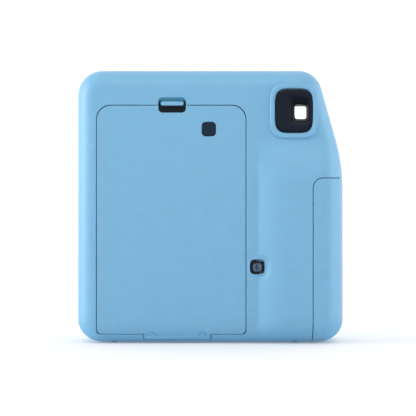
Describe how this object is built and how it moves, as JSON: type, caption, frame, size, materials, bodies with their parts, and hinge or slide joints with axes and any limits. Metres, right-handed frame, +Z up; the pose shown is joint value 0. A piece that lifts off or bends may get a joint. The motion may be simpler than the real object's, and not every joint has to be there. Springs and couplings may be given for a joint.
{
  "type": "instant camera",
  "caption": "Instant film camera with a bottom-hinged film door, thumb latch, eyepiece, turning lens ring, sliding barrel and geared film rollers.",
  "frame": {"origin": "centre of the overall box in X and Y, on the plane that the feet stand on", "axes": "+X to the right seen from behind, +Y the lens direction, +Z up"},
  "size_m": [0.123, 0.06, 0.1263],
  "materials": {
    "shell_blue": "fine satin moulding",
    "navy_gloss": "smooth gloss",
    "black_plastic": "fine matt",
    "white_plastic": "satin",
    "pale_blue_plastic": "satin",
    "gear_plastic": "natural acetal",
    "clear_glass": "polished",
    "smoked_window": "polished",
    "diffuser": "ribbed",
    "mirror": "polished",
    "steel": "drawn",
    "brass": "cut",
    "cell_wrap": "printed sleeve",
    "board_green": "solder mask",
    "capacitor_sleeve": "shrink sleeve"
  },
  "bodies": {
    "body": {"rear_case": "shell_blue", "front_case": "shell_blue", "feet": "shell_blue", "case_screws": "steel", "film_chamber": "black_plastic", "film_gate": "black_plastic", "light_cone": "black_plastic", "door_hinge_pin": "steel", "battery_holder": "black_plastic", "battery_contacts": "steel", "battery_1": "cell_wrap", "battery_2": "cell_wrap", "eyepiece_panel": "navy_gloss", "eyepiece_frame": "black_plastic", "eyepiece_lens": "clear_glass", "viewfinder_tube": "black_plastic", "viewfinder_objective": "clear_glass", "viewfinder_window": "clear_glass", "counter_window": "clear_glass", "counter_bracket": "black_plastic", "lens_base": "white_plastic", "button_spring": "steel", "button_bracket": "black_plastic", "release_switch": "black_plastic", "flash_window": "diffuser", "flash_reflector": "mirror", "flash_tube": "clear_glass", "flash_capacitor": "capacitor_sleeve", "main_board": "board_green", "sensor_window": "smoked_window", "motor": "steel", "idler_shaft": "steel", "roller_frame": "black_plastic", "gear_plate": "steel", "film_exit_trim": "black_plastic"},
    "back_cover": {"back_cover": "shell_blue", "back_cover_inner": "black_plastic", "pack_springs": "steel", "film_window": "smoked_window", "latch_spring": "steel"},
    "door_latch": {"door_latch": "shell_blue"},
    "battery_cover": {"battery_cover": "shell_blue"},
    "lens_ring": {"lens_ring": "pale_blue_plastic"},
    "lens_barrel": {"lens_barrel": "white_plastic", "lens_bezel": "black_plastic", "front_lens": "clear_glass", "rear_lens": "clear_glass", "selfie_mirror": "mirror", "shutter_plate": "black_plastic"},
    "shutter_blade": {"shutter_blade": "steel"},
    "shutter_button": {"shutter_button": "pale_blue_plastic"},
    "exit_flap": {"exit_flap": "black_plastic"},
    "drive_roller": {"drive_roller": "steel", "drive_roller_gear": "gear_plastic"},
    "pressure_roller": {"pressure_roller": "steel", "pressure_roller_gear": "gear_plastic"},
    "idler_gear": {"idler_gear": "gear_plastic"},
    "motor_pinion": {"motor_pinion": "brass"},
    "counter_dial": {"counter_dial": "black_plastic"}
  },
  "joints": [
    {"name": "back_cover_hinge", "type": "hinge", "parent": "body", "child": "back_cover", "pos_m": [-0.01525, -0.0226, 0.0036], "axis": [1, 0, 0], "range_deg": [0, 85]},
    {"name": "door_latch_slide", "type": "slide", "parent": "back_cover", "child": "door_latch", "axis": [0, 0, -1], "range_m": [0, 0.0022], "stiffness_N_per_m": 400, "springref_m": -0.001, "deforming": ["latch_spring"]},
    {"name": "battery_cover_slide", "type": "slide", "parent": "body", "child": "battery_cover", "axis": [1, 0, 0], "range_m": [0, 0.025]},
    {"name": "lens_ring_turn", "type": "hinge", "parent": "body", "child": "lens_ring", "pos_m": [-0.018, 0.022, 0.054], "axis": [0, 1, 0], "range_deg": [0, 60]},
    {"name": "lens_barrel_slide", "type": "slide", "parent": "body", "child": "lens_barrel", "axis": [0, 1, 0], "range_m": [0, 0.012]},
    {"name": "shutter_blade_swing", "type": "hinge", "parent": "lens_barrel", "child": "shutter_blade", "pos_m": [-0.0102, 0.0188, 0.0462], "axis": [0, 1, 0], "range_deg": [0, 58], "stiffness_Nm_per_rad": 0.0002, "springref_deg": -17.19},
    {"name": "shutter_button_press", "type": "slide", "parent": "body", "child": "shutter_button", "axis": [0, -1, 0], "range_m": [0, 0.0015], "stiffness_N_per_m": 600, "springref_m": -0.001, "deforming": ["button_spring"]},
    {"name": "exit_flap_swing", "type": "hinge", "parent": "body", "child": "exit_flap", "pos_m": [-0.018, -0.007, 0.122], "axis": [1, 0, 0], "range_deg": [0, 40], "stiffness_Nm_per_rad": 0.002, "springref_deg": -17.19},
    {"name": "drive_roller_turn", "type": "hinge", "parent": "body", "child": "drive_roller", "pos_m": [-0.018, 0.00152, 0.112], "axis": [1, 0, 0], "continuous": true},
    {"name": "pressure_roller_turn", "type": "hinge", "parent": "body", "child": "pressure_roller", "pos_m": [-0.018, -0.00752, 0.112], "axis": [1, 0, 0], "continuous": true},
    {"name": "idler_gear_turn", "type": "hinge", "parent": "body", "child": "idler_gear", "pos_m": [0.0153, 0.00152, 0.09845], "axis": [1, 0, 0], "continuous": true},
    {"name": "motor_turn", "type": "hinge", "parent": "body", "child": "motor_pinion", "pos_m": [0.0153, 0.00152, 0.0869], "axis": [1, 0, 0], "continuous": true},
    {"name": "counter_dial_turn", "type": "hinge", "parent": "body", "child": "counter_dial", "pos_m": [0.03075, -0.0236, 0.0354], "axis": [0, 1, 0], "range_deg": [-120, 180]}
  ],
  "couplings": [
    {"joint": "lens_barrel_slide", "follows": "lens_ring_turn", "m_per_rad": 0.0114},
    {"joint": "pressure_roller_turn", "follows": "drive_roller_turn", "ratio": -1},
    {"joint": "idler_gear_turn", "follows": "drive_roller_turn", "ratio": -0.5},
    {"joint": "motor_turn", "follows": "drive_roller_turn", "ratio": 1.8}
  ]
}
